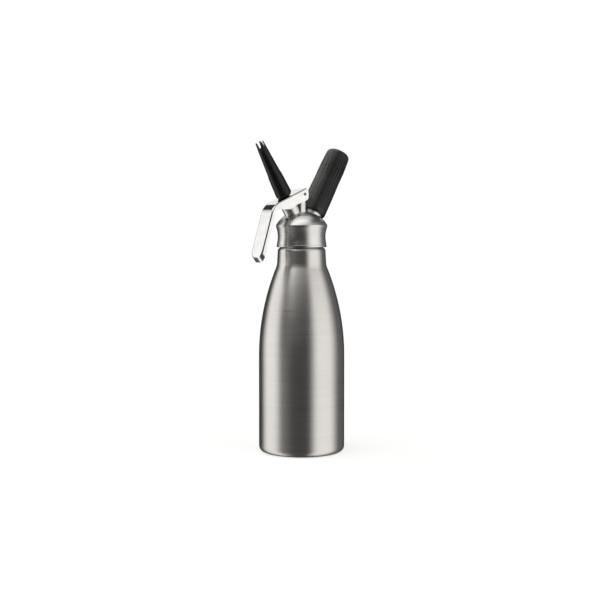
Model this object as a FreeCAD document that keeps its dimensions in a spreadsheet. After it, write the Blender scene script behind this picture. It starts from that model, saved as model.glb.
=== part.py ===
import FreeCAD, Part
import math
import os
import sys

import Sketcher
from FreeCAD import Placement, Rotation, Vector

# Whipped cream dispenser, 1 litre size, in millimetres.
# Z is the bottle's axis and z = 0 the surface it stands on. XZ is the plane of
# symmetry: lever and nozzle lean towards -X, the charger holder towards +X.

os.makedirs("parts", exist_ok=True)
doc = FreeCAD.newDocument("dispenser")

# ---------------------------------------------------------------- dimensions
DIMS = [
    # bottle
    ("bottle_r", 48.0), ("bottle_corner", 6.5), ("bottle_wall", 1.0),
    ("bottle_straight_top", 108.0), ("shoulder_arc", 262.0),
    ("neck_foot_r", 28.85), ("neck_foot_z", 206.13),
    ("neck_low_r", 27.55), ("neck_low_z", 211.6), ("neck_foot_fillet", 17.0),
    ("neck_high_r", 26.85), ("neck_high_z", 223.9), ("neck_round", 5.2),
    ("lip_r", 23.9), ("lip_z", 229.2),
    ("foot_ring_in", 33.0), ("foot_ring_out", 37.0), ("foot_ring_depth", 0.5),
    # neck thread ring and gasket
    ("neck_core_r", 22.8), ("neck_crest_r", 24.1), ("neck_bore_r", 21.2),
    ("neck_ring_low", 225.6), ("neck_rim_z", 243.0),
    ("neck_pitch", 4.0), ("neck_ridge_root", 0.9), ("neck_ridge_crest", 0.5),
    ("neck_ridge_z", 232.4), ("neck_ridge_rise", 8.6),
    ("gasket_in_r", 20.6), ("gasket_out_r", 24.1), ("gasket_thick", 2.0),
    # head: skirt and dome
    ("skirt_low_z", 229.4), ("skirt_bead_r", 28.1), ("skirt_bead_top", 231.7),
    ("skirt_foot_r", 27.55), ("skirt_foot_z", 233.9), ("skirt_arc", 32.5),
    ("rim_low_r", 28.55), ("rim_low_z", 251.6), ("rim_r", 28.8), ("rim_z", 253.9),
    ("dome_foot_r", 28.25), ("dome_foot_z", 254.9), ("dome_mid_r", 19.5),
    ("dome_mid_z", 264.2), ("dome_top_z", 270.2), ("dome_arc_low", 29.5),
    ("dome_arc_top", 34.6875),
    ("head_bore_r", 24.5), ("head_crest_r", 23.2), ("seat_z", 245.0),
    ("cavity_r", 20.5), ("cavity_side_z", 251.5), ("cavity_mid_r", 16.5),
    ("cavity_mid_z", 256.6), ("cavity_high_r", 9.0), ("cavity_high_z", 259.6),
    ("cavity_top_z", 260.0), ("head_ridge_z", 230.4),
    # head: lever post
    ("post_left", -10.6), ("post_right", 1.8), ("post_half", 9.8), ("post_top", 287.2), ("post_corner", 5.0),
    ("pivot_x", -3.2), ("pivot_z", 288.4), ("barrel_r", 3.9), ("barrel_half", 9.8),
    ("pin_r", 1.55), ("pin_half", 11.15), ("lever_bore_r", 1.85),
    # valve axis
    ("valve_z", 246.35), ("valve_tilt", 30.0), ("boss_r", 9.2), ("boss_low", 10.5),
    ("boss_top", 38.5), ("spotface_r", 7.0), ("seat_s", 16.5), ("passage_r", 4.4),
    ("chamber_low", 21.5), ("chamber_r", 6.6),
    ("bush_top", 27.0), ("bush_bore_r", 3.05), ("ring_pocket_r", 4.6),
    ("ring_pocket_top", 23.4), ("guide_ring_r", 3.76), ("guide_ring_wire", 0.68),
    ("guide_ring_s", 22.4),
    ("stem_r", 3.0), ("stem_tail_r", 2.4), ("stem_low", 9.6), ("stem_top", 57.2),
    ("stem_bore_r", 1.9), ("stem_bore_low", 18.2), ("port_r", 1.1), ("port_s", 19.6),
    ("seal_low", 14.45), ("seal_r", 5.8), ("seal_lip_r", 5.2), ("seal_top", 16.45),
    ("nut_low", 11.2), ("nut_flats", 8.0),
    ("spring_r", 5.15), ("spring_wire", 0.6), ("spring_low", 27.7),
    ("spring_rise", 13.2), ("spring_pitch", 2.64),
    ("retainer_r", 7.2), ("retainer_low", 41.6), ("retainer_top", 43.2),
    ("retainer_lip_r", 4.2), ("retainer_lip_low", 40.4),
    # tip adaptor, its O-ring and the nozzle
    ("hub_r", 4.4), ("collar_r", 8.05), ("collar_low", 46.4), ("collar_top", 47.85),
    ("spigot_r", 4.9), ("spigot_crest_r", 5.5), ("spigot_top", 57.0),
    ("tip_pitch", 2.4), ("tip_ridge_root", 0.5), ("tip_ridge_crest", 0.25),
    ("spigot_ridge_s", 50.6), ("spigot_ridge_rise", 5.2),
    ("tip_ring_r", 6.6), ("tip_ring_wire", 0.72), ("tip_ring_s", 48.62),
    ("tip_base", 47.95), ("tip_base_r", 8.75), ("tip_rim_r", 9.1), ("tip_rim_s", 48.6),
    ("tip_knee_r", 8.15), ("tip_knee_s", 69.0), ("tip_step_s", 75.2),
    ("tip_step_r", 7.36), ("tip_end_r", 4.8), ("tip_end_s", 112.9),
    ("tip_recess_r", 7.5), ("tip_recess_s", 49.5), ("tip_socket_r", 5.85),
    ("tip_socket_top", 57.8), ("tip_crest_r", 5.2), ("tip_ridge_s", 51.8),
    ("tip_ridge_rise", 4.6), ("tip_throat_r", 5.0), ("tip_mouth_r", 3.65),
    ("prong_s", 104.9), ("gap_low_half", 1.45), ("gap_top_half", 2.2), ("gap_turn", 10.0),
    # lever
    ("lever_half", 11.25), ("lever_sheet", 1.2), ("lever_fold", 2.1), ("lever_plan", 8.0),
    ("lv_nose_x", -1.4), ("lv_nose_z", 295.0), ("lv_nose_arc", 5.2),
    ("lv_end_x", 1.5), ("lv_end_high", 290.4), ("lv_end_low", 285.2), ("lv_end_arc", 4.6),
    ("lv_heel_x", -1.4), ("lv_heel_z", 281.4),
    ("lv_low1_x", -15.0), ("lv_low1_z", 276.1), ("lv_low2_x", -20.4), ("lv_low2_z", 272.7),
    ("lv_low_arc", 8.0), ("lv_low3_x", -24.6), ("lv_low3_z", 271.4),
    ("lv_low4_x", -36.7), ("lv_low4_z", 271.4), ("lv_inner_arc", 5.0),
    ("lv_low5_x", -41.46), ("lv_low5_z", 267.86),
    ("lv_tip_in_x", -57.73), ("lv_tip_in_z", 213.07), ("lv_tip_out_x", -61.8),
    ("lv_tip_out_z", 219.1), ("lv_bend_low_x", -47.44), ("lv_bend_low_z", 266.99),
    ("lv_bend_top_x", -36.4), ("lv_bend_top_z", 279.5), ("lv_bend_arc", 20.0),
    ("lv_slot_half", 5.0), ("lv_slot_len", 1.4), ("lv_slot_shift", 0.4),
    # charger axis
    ("gas_z", 241.67), ("gas_tilt", 28.9), ("port_low", 19.0), ("port_boss_r", 11.6),
    ("port_boss_top", 31.0), ("nipple_r", 10.2), ("nipple_low", 27.0),
    ("nipple_shank_r", 7.0), ("nipple_collar_top", 37.2),
    ("nipple_core_r", 9.6), ("nipple_crest_r", 10.45), ("nipple_top", 50.5),
    ("gas_pitch", 3.0), ("gas_ridge_root", 0.7), ("gas_ridge_crest", 0.4),
    ("nipple_ridge_t", 40.0), ("nipple_ridge_rise", 8.6),
    ("gas_bore_r", 1.5), ("needle_bore_r", 4.9), ("needle_bore_low", 30.0),
    ("needle_seat_top", 38.3), ("needle_r", 0.8), ("needle_low", 32.0), ("needle_top", 43.4),
    ("vent_r", 0.55), ("vent_pcd", 2.8),
    ("gas_seal_in_r", 2.4), ("gas_seal_top", 40.85),
    ("charger_low", 40.95), ("charger_neck_r", 4.3), ("charger_neck_top", 51.2),
    ("charger_r", 8.9), ("charger_shoulder", 60.4), ("charger_round", 97.5),
    ("charger_bore_r", 2.6), ("charger_wall", 1.4), ("charger_inner_low", 54.0),
    ("charger_inner_side", 62.5), ("foil_low", 41.25), ("foil_thick", 0.3), ("foil_hole_r", 1.15),
    # holder
    ("holder_low", 29.9), ("holder_low_r", 13.3), ("holder_band_t", 31.7),
    ("holder_band_r", 14.62), ("holder_mid_t", 72.3), ("holder_mid_r", 14.1),
    ("holder_high_t", 103.6), ("holder_high_r", 13.35), ("holder_shoulder_arc", 110.0),
    ("holder_round", 5.0), ("holder_cap_r", 9.6), ("holder_cap_t", 108.1),
    ("holder_top_t", 109.1), ("holder_cap_arc", 46.58),
    ("sleeve_r", 12.4), ("sleeve_low", 37.4), ("sleeve_top", 51.8), ("sleeve_bore_r", 10.85),
    ("sleeve_crest_r", 10.0), ("sleeve_ridge_t", 41.5), ("sleeve_ridge_rise", 8.0),
    ("holder_step", 51.8), ("holder_bore_r", 9.25), ("holder_dome_t", 97.5),
    ("flute_r", 1.15), ("flute_low", 35.5), ("flute_low_r", 15.17), ("flute_high", 106.8),
    ("flute_high_r", 13.7), ("flute_count", 28),
]

sheet = doc.addObject("Spreadsheet::Sheet", "dims")
for row, (alias, number) in enumerate(DIMS, start=1):
    sheet.set("A%d" % row, alias)
    sheet.set("B%d" % row, repr(number))
    sheet.setAlias("B%d" % row, alias)
doc.recompute()


class Q:
    """A size: its number, and the sheet expression that it comes from."""

    def __init__(self, value, text):
        self.v = float(value)
        self.e = text

    @staticmethod
    def of(other):
        return other if isinstance(other, Q) else Q(other, repr(float(other)))

    def __add__(self, o):
        o = Q.of(o)
        return Q(self.v + o.v, "(%s + %s)" % (self.e, o.e))

    def __sub__(self, o):
        o = Q.of(o)
        return Q(self.v - o.v, "(%s - %s)" % (self.e, o.e))

    def __mul__(self, o):
        o = Q.of(o)
        return Q(self.v * o.v, "(%s * %s)" % (self.e, o.e))

    def __neg__(self):
        return Q(-self.v, "(0 - %s)" % self.e)


class Sizes:
    pass


d = Sizes()
for alias, number in DIMS:
    setattr(d, alias, Q(number, "dims." + alias))
ZERO = Q(0.0, "0")

PIECES = []


def bind(obj, prop, size):
    """Set a property from a size, and bind it to the sheet."""
    size = Q.of(size)
    setattr(obj, prop, size.v)
    if "dims." in size.e:
        obj.setExpression(prop, size.e)


def new_body(label, axis=None):
    body = doc.addObject("PartDesign::Body", label)
    body.Label = label
    if axis == "valve":
        body.Placement = Placement(Vector(0, 0, d.valve_z.v), Rotation(Vector(0, -1, 0), d.valve_tilt.v))
        body.setExpression(".Placement.Base.z", d.valve_z.e)
        body.setExpression(".Placement.Rotation.Angle", d.valve_tilt.e)
    elif axis == "gas":
        body.Placement = Placement(Vector(0, 0, d.gas_z.v), Rotation(Vector(0, 1, 0), d.gas_tilt.v))
        body.setExpression(".Placement.Base.z", d.gas_z.e)
        body.setExpression(".Placement.Rotation.Angle", d.gas_tilt.e)
    PIECES.append(body)
    return body


def origin_plane(body, role):
    for f in body.Origin.OriginFeatures:
        if f.Role == role:
            return f
    raise RuntimeError("no plane " + role)


COUNT = [0]


def new_sketch(body, role="XZ_Plane", lift=None, axis=None):
    """A sketch on an origin plane, lifted along its normal, or turned on a tilted axis."""
    COUNT[0] += 1
    sk = body.newObject("Sketcher::SketchObject", "sketch%03d" % COUNT[0])
    sk.AttachmentSupport = (origin_plane(body, role), [""])
    sk.MapMode = "FlatFace"
    if lift is not None:
        sk.AttachmentOffset = Placement(Vector(0, 0, lift.v), Rotation())
        sk.setExpression(".AttachmentOffset.Base.z", lift.e)
    if axis == "valve":
        sk.AttachmentOffset = Placement(Vector(0, d.valve_z.v, 0), Rotation(Vector(0, 0, 1), d.valve_tilt.v))
        sk.setExpression(".AttachmentOffset.Base.y", d.valve_z.e)
        sk.setExpression(".AttachmentOffset.Rotation.Angle", d.valve_tilt.e)
    if axis == "gas":
        sk.AttachmentOffset = Placement(Vector(0, d.gas_z.v, 0), Rotation(Vector(0, 0, -1), d.gas_tilt.v))
        sk.setExpression(".AttachmentOffset.Base.y", d.gas_z.e)
        sk.setExpression(".AttachmentOffset.Rotation.Angle", d.gas_tilt.e)
    return sk


def pin_point(sk, geo, pos, x, y):
    """Hold a sketch point at (x, y), both bound to the sheet."""
    if abs(x.v) < 1e-9:
        sk.addConstraint(Sketcher.Constraint("PointOnObject", geo, pos, -2))
    else:
        n = sk.addConstraint(Sketcher.Constraint("DistanceX", -1, 1, geo, pos, x.v))
        if "dims." in x.e:
            sk.setExpression("Constraints[%d]" % n, x.e)
    if abs(y.v) < 1e-9:
        sk.addConstraint(Sketcher.Constraint("PointOnObject", geo, pos, -1))
    else:
        n = sk.addConstraint(Sketcher.Constraint("DistanceY", -1, 1, geo, pos, y.v))
        if "dims." in y.e:
            sk.setExpression("Constraints[%d]" % n, y.e)


def outline(sk, path):
    """Closed outline. path holds points (x, y), and ("arc", R, side) for the segment
    between the points before and after it. side is +1 for a centre on the left of the way."""
    pts, segs = [], []
    for item in path:
        if item[0] == "arc":
            segs[-1] = item
        else:
            pts.append((Q.of(item[0]), Q.of(item[1])))
            segs.append(("line",))
    n = len(pts)
    ends = []
    for i in range(n):
        (x0, y0), (x1, y1) = pts[i], pts[(i + 1) % n]
        if segs[i][0] == "line":
            g = sk.addGeometry(Part.LineSegment(Vector(x0.v, y0.v, 0), Vector(x1.v, y1.v, 0)), False)
            ends.append((g, 1, 2))
        else:
            r, side = Q.of(segs[i][1]), segs[i][2]
            dx, dy = x1.v - x0.v, y1.v - y0.v
            chord = math.hypot(dx, dy)
            rise = math.sqrt(max(r.v * r.v - chord * chord / 4.0, 0.0))
            cx = (x0.v + x1.v) / 2.0 - side * dy / chord * rise
            cy = (y0.v + y1.v) / 2.0 + side * dx / chord * rise
            a0 = math.atan2(y0.v - cy, x0.v - cx)
            a1 = math.atan2(y1.v - cy, x1.v - cx)
            circle = Part.Circle(Vector(cx, cy, 0), Vector(0, 0, 1), r.v)
            if side > 0:
                while a1 <= a0:
                    a1 += 2 * math.pi
                g = sk.addGeometry(Part.ArcOfCircle(circle, a0, a1), False)
                ends.append((g, 1, 2))
            else:
                while a0 <= a1:
                    a0 += 2 * math.pi
                g = sk.addGeometry(Part.ArcOfCircle(circle, a1, a0), False)
                ends.append((g, 2, 1))
            k = sk.addConstraint(Sketcher.Constraint("Radius", g, r.v))
            if "dims." in r.e:
                sk.setExpression("Constraints[%d]" % k, r.e)
    for i in range(n):
        g0, s0, e0 = ends[i]
        g1, s1, e1 = ends[(i + 1) % n]
        sk.addConstraint(Sketcher.Constraint("Coincident", g0, e0, g1, s1))
        pin_point(sk, g0, s0, pts[i][0], pts[i][1])
    return sk


def ring_hole(sk, x, y, r):
    """A full circle with its centre and radius bound to the sheet."""
    x, y, r = Q.of(x), Q.of(y), Q.of(r)
    g = sk.addGeometry(Part.Circle(Vector(x.v, y.v, 0), Vector(0, 0, 1), r.v), False)
    if abs(x.v) < 1e-9 and abs(y.v) < 1e-9:
        sk.addConstraint(Sketcher.Constraint("Coincident", g, 3, -1, 1))
    else:
        pin_point(sk, g, 3, x, y)
    k = sk.addConstraint(Sketcher.Constraint("Radius", g, r.v))
    if "dims." in r.e:
        sk.setExpression("Constraints[%d]" % k, r.e)
    return sk


def feature(body, kind, name=None):
    COUNT[0] += 1
    return body.newObject("PartDesign::" + kind, name or "%s%03d" % (kind.lower(), COUNT[0]))


def turn(body, path, axis=None, cut=False):
    """Turned shape: a closed outline in the XZ plane, about its vertical axis."""
    sk = new_sketch(body, "XZ_Plane", axis=axis)
    outline(sk, path)
    f = feature(body, "Groove" if cut else "Revolution")
    f.Profile = sk
    f.ReferenceAxis = (sk, ["V_Axis"])
    f.Angle = 360.0
    return checked(f, cut)


def volume(body):
    doc.recompute()
    return body.Shape.Volume if body.Shape and not body.Shape.isNull() else 0.0


LAST = {}


def checked(f, cut):
    """Recompute, and make sure that the feature changed the body the way it should."""
    body = [b for b in PIECES if f in b.Group][0]
    before = LAST.get(body.Name, 0.0)
    doc.recompute()
    if "Invalid" in f.State or "Error" in f.State or f.Shape.isNull():
        raise RuntimeError("feature failed: %s in %s %s %s" % (f.Name, body.Label, f.State, f.getStatusString()))
    after = f.Shape.Volume
    if cut and not after < before - 1e-6:
        raise RuntimeError("%s in %s cuts nothing" % (f.Name, body.Label))
    if not cut and not after > before + 1e-6:
        raise RuntimeError("%s in %s adds nothing" % (f.Name, body.Label))
    LAST[body.Name] = after
    return f


def extrude(body, sk, length, cut=False, both=False, flip=False, through=False):
    f = feature(body, "Pocket" if cut else "Pad")
    f.Profile = sk
    if through:
        f.Type = "ThroughAll"
    else:
        bind(f, "Length", length)
    if both:
        f.SideType = "Symmetric"
    f.Reversed = flip
    return checked(f, cut)


def ridge(body, root_r, crest_r, sink, mid, root_half, crest_half, pitch, rise, axis=None):
    """Helical thread ridge, right-handed. sink carries its foot into the wall."""
    sk = new_sketch(body, "XZ_Plane", axis=axis)
    foot = root_r + sink
    outline(sk, [(foot, mid - root_half), (root_r, mid - root_half), (crest_r, mid - crest_half),
                 (crest_r, mid + crest_half), (root_r, mid + root_half), (foot, mid + root_half)])
    f = feature(body, "AdditiveHelix")
    f.Profile = sk
    f.ReferenceAxis = (sk, ["V_Axis"])
    f.Mode = 0
    bind(f, "Pitch", pitch)
    bind(f, "Height", rise)
    f.LeftHanded = False
    return checked(f, False)


def pattern(body, feats, count, cut):
    """Repeat features about the body's own Z axis."""
    axis = [f for f in body.Origin.OriginFeatures if f.Role == "Z_Axis"][0]
    p = feature(body, "PolarPattern")
    p.Originals = feats
    p.Axis = (axis, [""])
    p.Angle = 360.0
    p.Occurrences = int(round(count.v)) if isinstance(count, Q) else count
    if isinstance(count, Q):
        p.setExpression("Occurrences", count.e)
    body.Tip = p
    return checked(p, cut)


def round_edges(body, radius, pick, kind="Fillet"):
    """Fillet or chamfer the edges of the tip for which pick(edge) is true."""
    doc.recompute()
    base = body.Tip
    names = ["Edge%d" % (i + 1) for i, e in enumerate(base.Shape.Edges) if pick(e)]
    if not names:
        raise RuntimeError("no edges to round in " + body.Label)
    f = feature(body, kind)
    f.Base = (base, names)
    bind(f, "Radius" if kind == "Fillet" else "Size", radius)
    doc.recompute()
    if "Invalid" in f.State or f.Shape.isNull() or not f.Shape.isValid():
        raise RuntimeError("rounding failed in %s (%d edges)" % (body.Label, len(names)))
    LAST[body.Name] = f.Shape.Volume
    return f


# -------------------------------------------------------------------- bottle
# Deep-drawn shell of one wall thickness: outer wall, shoulder and rolled lip.
w = d.bottle_wall
b = new_body("bottle_shell")
turn(b, [
    (ZERO, ZERO), (d.foot_ring_in, ZERO), (d.foot_ring_in + 0.5, d.foot_ring_depth),
    (d.foot_ring_out - 0.5, d.foot_ring_depth), (d.foot_ring_out, ZERO),
    (d.bottle_r - d.bottle_corner, ZERO), ("arc", d.bottle_corner, 1),
    (d.bottle_r, d.bottle_corner), (d.bottle_r, d.bottle_straight_top), ("arc", d.shoulder_arc, 1),
    (d.neck_foot_r, d.neck_foot_z), ("arc", d.neck_foot_fillet, -1),
    (d.neck_low_r, d.neck_low_z), (d.neck_high_r, d.neck_high_z), ("arc", d.neck_round, 1),
    (d.lip_r, d.lip_z), (d.neck_core_r, d.lip_z), (d.neck_core_r, d.lip_z - w),
    (d.lip_r - 0.4, d.lip_z - w), ("arc", d.neck_round - w, -1),
    (d.neck_high_r - w, d.neck_high_z), (d.neck_low_r - w, d.neck_low_z),
    ("arc", d.neck_foot_fillet + w, 1),
    (d.neck_foot_r - w * 0.93, d.neck_foot_z - w * 0.38), ("arc", d.shoulder_arc - w, -1),
    (d.bottle_r - w, d.bottle_straight_top), (d.bottle_r - w, d.bottle_corner), ("arc", d.bottle_corner - w, -1),
    (d.bottle_r - d.bottle_corner, w), (d.foot_ring_out + 0.3, w), (d.foot_ring_out - 0.2, w + d.foot_ring_depth),
    (d.foot_ring_in + 0.2, w + d.foot_ring_depth), (d.foot_ring_in - 0.3, w), (ZERO, w),
])

# Threaded ring in the neck: right-hand thread, one ridge.
b = new_body("neck_thread_ring")
turn(b, [
    (d.neck_bore_r, d.neck_ring_low), (d.neck_core_r, d.neck_ring_low), (d.neck_core_r, d.neck_rim_z - 0.4),
    (d.neck_core_r - 0.4, d.neck_rim_z), (d.neck_bore_r + 0.3, d.neck_rim_z), (d.neck_bore_r, d.neck_rim_z - 0.3),
])
ridge(b, d.neck_core_r, d.neck_crest_r, Q.of(-0.4), d.neck_ridge_z, d.neck_ridge_root, d.neck_ridge_crest,
      d.neck_pitch, d.neck_ridge_rise)

b = new_body("head_gasket")
turn(b, [
    (d.gasket_in_r, d.neck_rim_z), (d.gasket_out_r, d.neck_rim_z),
    (d.gasket_out_r, d.neck_rim_z + d.gasket_thick), (d.gasket_in_r, d.neck_rim_z + d.gasket_thick),
])

# ---------------------------------------------------------------------- head
head = new_body("head_body")
# Skirt and dome, solid at first.
turn(head, [
    (ZERO, d.skirt_low_z), (d.skirt_bead_r - 0.4, d.skirt_low_z), (d.skirt_bead_r, d.skirt_low_z + 0.4),
    (d.skirt_bead_r, d.skirt_bead_top), (d.skirt_bead_r - 0.3, d.skirt_bead_top + 0.3),
    (d.skirt_foot_r, d.skirt_foot_z), ("arc", d.skirt_arc, -1),
    (d.rim_low_r, d.rim_low_z), (d.rim_r, d.rim_z), (d.dome_foot_r, d.dome_foot_z), ("arc", d.dome_arc_low, 1),
    (d.dome_mid_r, d.dome_mid_z), ("arc", d.dome_arc_top, 1), (ZERO, d.dome_top_z),
])
# Valve boss, square to the valve axis.
turn(head, [
    (ZERO, d.boss_low), (d.boss_r, d.boss_low), (d.boss_r, d.boss_top - 0.6), (d.boss_r - 0.6, d.boss_top),
    (ZERO, d.boss_top),
], axis="valve")
# Post that carries the lever: a block as wide as the channel's inside, with rounded
# corners, and the cross barrel for its pin on top.
sk = new_sketch(head, "XY_Plane", lift=d.dome_foot_z)
c = d.post_corner
outline(sk, [
    (d.post_left + c, -d.post_half), (d.post_right - c, -d.post_half), ("arc", c, 1),
    (d.post_right, -d.post_half + c), (d.post_right, d.post_half - c), ("arc", c, 1),
    (d.post_right - c, d.post_half), (d.post_left + c, d.post_half), ("arc", c, 1),
    (d.post_left, d.post_half - c), (d.post_left, -d.post_half + c), ("arc", c, 1),
])
extrude(head, sk, d.post_top - d.dome_foot_z)
sk = new_sketch(head, "XZ_Plane")
ring_hole(sk, d.pivot_x, d.pivot_z, d.barrel_r)
extrude(head, sk, d.barrel_half * 2, both=True)
# Boss for the charger port.
turn(head, [
    (ZERO, d.port_low), (d.port_boss_r, d.port_low), (d.port_boss_r, d.port_boss_top - 0.5),
    (d.port_boss_r - 0.5, d.port_boss_top), (ZERO, d.port_boss_top),
], axis="gas")
# Inside: thread bore, gasket seat and the chamber under the dome.
turn(head, [
    (ZERO, d.skirt_low_z - 2), (d.head_bore_r + 0.6, d.skirt_low_z - 2), (d.head_bore_r + 0.6, d.skirt_low_z),
    (d.head_bore_r, d.skirt_low_z + 0.6),
    (d.head_bore_r, d.seat_z), (d.cavity_r, d.seat_z), (d.cavity_r, d.cavity_side_z),
    (d.cavity_mid_r, d.cavity_mid_z), (d.cavity_high_r, d.cavity_high_z), (ZERO, d.cavity_top_z),
], cut=True)
# Valve bores: spot face, passage and spring chamber.
turn(head, [
    (ZERO, d.seat_s - 12), (d.spotface_r, d.seat_s - 12), (d.spotface_r, d.seat_s), (d.passage_r, d.seat_s),
    (d.passage_r, d.chamber_low), (d.chamber_r, d.chamber_low), (d.chamber_r, d.boss_top + 1),
    (ZERO, d.boss_top + 1),
], axis="valve", cut=True)
# Gas bore and the seat of the port nipple.
turn(head, [
    (ZERO, d.port_low - 8), (d.gas_bore_r, d.port_low - 8), (d.gas_bore_r, d.nipple_low - 1.5),
    (d.nipple_shank_r, d.nipple_low - 1.5), (d.nipple_shank_r, d.port_boss_top + 1), (ZERO, d.port_boss_top + 1),
], axis="gas", cut=True)
# Bore for the pivot pin.
sk = new_sketch(head, "XZ_Plane")
ring_hole(sk, d.pivot_x, d.pivot_z, d.pin_r)
extrude(head, sk, d.barrel_half * 2 + 4, cut=True, both=True)
# Internal thread.
ridge(head, d.head_bore_r, d.head_crest_r, Q.of(0.4), d.head_ridge_z, d.neck_ridge_root, d.neck_ridge_crest,
      d.neck_pitch, d.neck_ridge_rise)

b = new_body("lever_pivot_pin")
b.Placement = Placement(Vector(d.pivot_x.v, 0, d.pivot_z.v), Rotation(Vector(1, 0, 0), -90))
b.setExpression(".Placement.Base.x", d.pivot_x.e)
b.setExpression(".Placement.Base.z", d.pivot_z.e)
turn(b, [
    (ZERO, -d.pin_half + 0.8), (Q.of(1.0), -d.pin_half + 0.3), (Q.of(1.0), -d.pin_half), (d.pin_r - 0.3, -d.pin_half), (d.pin_r, -d.pin_half + 0.3),
    (d.pin_r, d.pin_half - 0.3), (d.pin_r - 0.3, d.pin_half), (Q.of(1.0), d.pin_half), (Q.of(1.0), d.pin_half - 0.3), (ZERO, d.pin_half - 0.8),
])

# --------------------------------------------------------------------- valve
b = new_body("valve_guide_bush", "valve")
turn(b, [
    (d.ring_pocket_r, d.chamber_low), (d.chamber_r, d.chamber_low), (d.chamber_r, d.bush_top),
    (d.bush_bore_r, d.bush_top), (d.bush_bore_r, d.ring_pocket_top), (d.ring_pocket_r, d.ring_pocket_top),
])

b = new_body("guide_o_ring", "valve")
sk = new_sketch(b, "XZ_Plane")
ring_hole(sk, d.guide_ring_r, d.guide_ring_s, d.guide_ring_wire)
f = feature(b, "Revolution")
f.Profile = sk
f.ReferenceAxis = (sk, ["V_Axis"])
f.Angle = 360.0
checked(f, False)

# Stem: threaded tail, shoulder, bore with four side ports.
b = new_body("valve_stem", "valve")
turn(b, [
    (ZERO, d.stem_low), (d.stem_tail_r - 0.4, d.stem_low), (d.stem_tail_r, d.stem_low + 0.4),
    (d.stem_tail_r, d.seal_top), (d.stem_r, d.seal_top), (d.stem_r, d.stem_top - 0.3),
    (d.stem_r - 0.3, d.stem_top), (d.stem_bore_r, d.stem_top), (d.stem_bore_r, d.stem_bore_low),
    (ZERO, d.stem_bore_low - 1.0),
])
for role in ("XZ_Plane", "YZ_Plane"):
    sk = new_sketch(b, role)
    ring_hole(sk, ZERO, d.port_s, d.port_r)
    extrude(b, sk, d.stem_r * 2 + 2, cut=True, both=True)

b = new_body("valve_seal", "valve")
turn(b, [
    (d.stem_tail_r, d.seal_low), (d.seal_r, d.seal_low), (d.seal_r, d.seal_top - 0.55), (d.seal_lip_r, d.seal_top),
    (d.stem_tail_r, d.seal_top),
])

# Hexagon nut on the stem's tail.
b = new_body("valve_seal_nut", "valve")
sk = new_sketch(b, "XY_Plane", lift=d.nut_low)
half = d.nut_flats * 0.5
side = d.nut_flats * 0.28867513
corner = d.nut_flats * 0.57735027
outline(sk, [(corner, ZERO), (side, half), (-side, half), (-corner, ZERO), (-side, -half), (side, -half)])
extrude(b, sk, d.seal_low - d.nut_low)
sk = new_sketch(b, "XY_Plane", lift=d.nut_low)
ring_hole(sk, ZERO, ZERO, d.stem_tail_r)
extrude(b, sk, d.seal_low - d.nut_low, cut=True, flip=True)

# Coil spring between guide bush and retainer.
b = new_body("valve_spring", "valve")
sk = new_sketch(b, "XZ_Plane")
ring_hole(sk, d.spring_r, d.spring_low, d.spring_wire)
f = feature(b, "AdditiveHelix")
f.Profile = sk
f.ReferenceAxis = (sk, ["V_Axis"])
f.Mode = 0
bind(f, "Pitch", d.spring_pitch)
bind(f, "Height", d.spring_rise)
checked(f, False)

b = new_body("spring_retainer", "valve")
turn(b, [
    (d.stem_r, d.retainer_lip_low), (d.retainer_lip_r, d.retainer_lip_low), (d.retainer_lip_r, d.retainer_low),
    (d.retainer_r, d.retainer_low), (d.retainer_r, d.retainer_top - 0.3), (d.retainer_r - 0.3, d.retainer_top),
    (d.stem_r, d.retainer_top),
])

# Adaptor: hub through the lever's slot, collar above it and threaded spigot for the nozzle.
b = new_body("tip_adaptor", "valve")
turn(b, [
    (d.stem_r, d.retainer_top), (d.hub_r, d.retainer_top), (d.hub_r, d.collar_low), (d.collar_r - 0.2, d.collar_low),
    (d.collar_r, d.collar_low + 0.2), (d.collar_r, d.collar_top - 0.2), (d.collar_r - 0.2, d.collar_top),
    (d.spigot_r, d.collar_top), (d.spigot_r, d.spigot_top - 0.4), (d.spigot_r - 0.4, d.spigot_top),
    (d.stem_r, d.spigot_top),
])
ridge(b, d.spigot_r, d.spigot_crest_r, Q.of(-0.3), d.spigot_ridge_s, d.tip_ridge_root, d.tip_ridge_crest,
      d.tip_pitch, d.spigot_ridge_rise)

b = new_body("tip_o_ring", "valve")
sk = new_sketch(b, "XZ_Plane")
ring_hole(sk, d.tip_ring_r, d.tip_ring_s, d.tip_ring_wire)
f = feature(b, "Revolution")
f.Profile = sk
f.ReferenceAxis = (sk, ["V_Axis"])
f.Angle = 360.0
checked(f, False)

# -------------------------------------------------------------------- nozzle
b = new_body("decorator_tip", "valve")
turn(b, [
    (d.tip_recess_r, d.tip_base), (d.tip_base_r, d.tip_base), (d.tip_rim_r, d.tip_rim_s),
    (d.tip_knee_r, d.tip_knee_s), ("arc", Q.of(60.0), 1), (d.tip_step_r, d.tip_step_s),
    (d.tip_end_r, d.tip_end_s), (d.tip_mouth_r, d.tip_end_s), (d.tip_mouth_r, d.prong_s),
    (d.tip_throat_r, d.tip_socket_top + 3), (d.tip_throat_r, d.tip_socket_top),
    (d.tip_socket_r, d.tip_socket_top), (d.tip_socket_r, d.tip_recess_s), (d.tip_recess_r, d.tip_recess_s),
])
ridge(b, d.tip_socket_r, d.tip_crest_r, Q.of(0.3), d.tip_ridge_s, d.tip_ridge_root, d.tip_ridge_crest,
      d.tip_pitch, d.tip_ridge_rise)
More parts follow.
